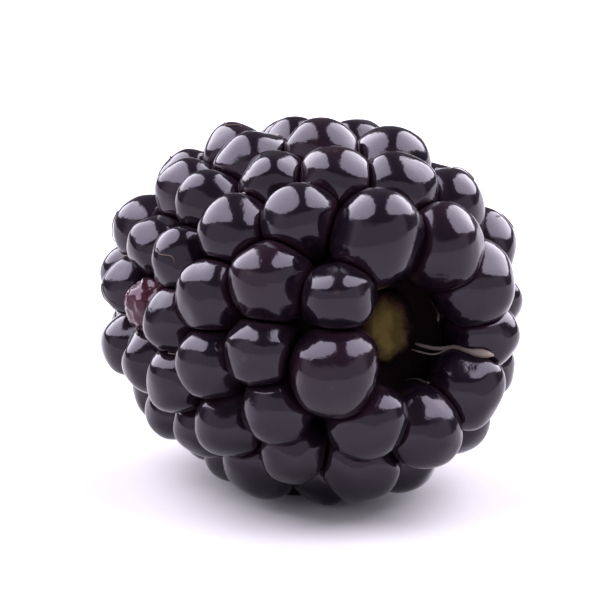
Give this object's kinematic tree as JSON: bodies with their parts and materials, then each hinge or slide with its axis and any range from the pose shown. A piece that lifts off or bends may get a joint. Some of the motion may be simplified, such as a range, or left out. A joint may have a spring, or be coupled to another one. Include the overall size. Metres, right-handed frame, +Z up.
{
  "type": "bramble berry",
  "caption": "Ripe bramble berry as picked, lying on its side: glossy black drupelets packed round a solid core, with a shallow hollow and the pale receptacle at the stem end.",
  "frame": {"origin": "on the surface that the fruit rests on, under the middle of its bounding box", "axes": "+X along the fruit towards its stem end, which is tilted 3.5 degrees up, +Z up"},
  "size_m": [0.0296, 0.0242, 0.0242],
  "materials": {
    "drupelet_skin": "smooth juicy skin, glossy, near-black purple, a little redder on some drupelets",
    "receptacle": "damp fibrous olive-green flesh at the stem end",
    "dried_style": "dry papery orange-brown threads between the drupelets"
  },
  "bodies": {
    "root": {"berry": "drupelet_skin"}
  },
  "joints": []
}
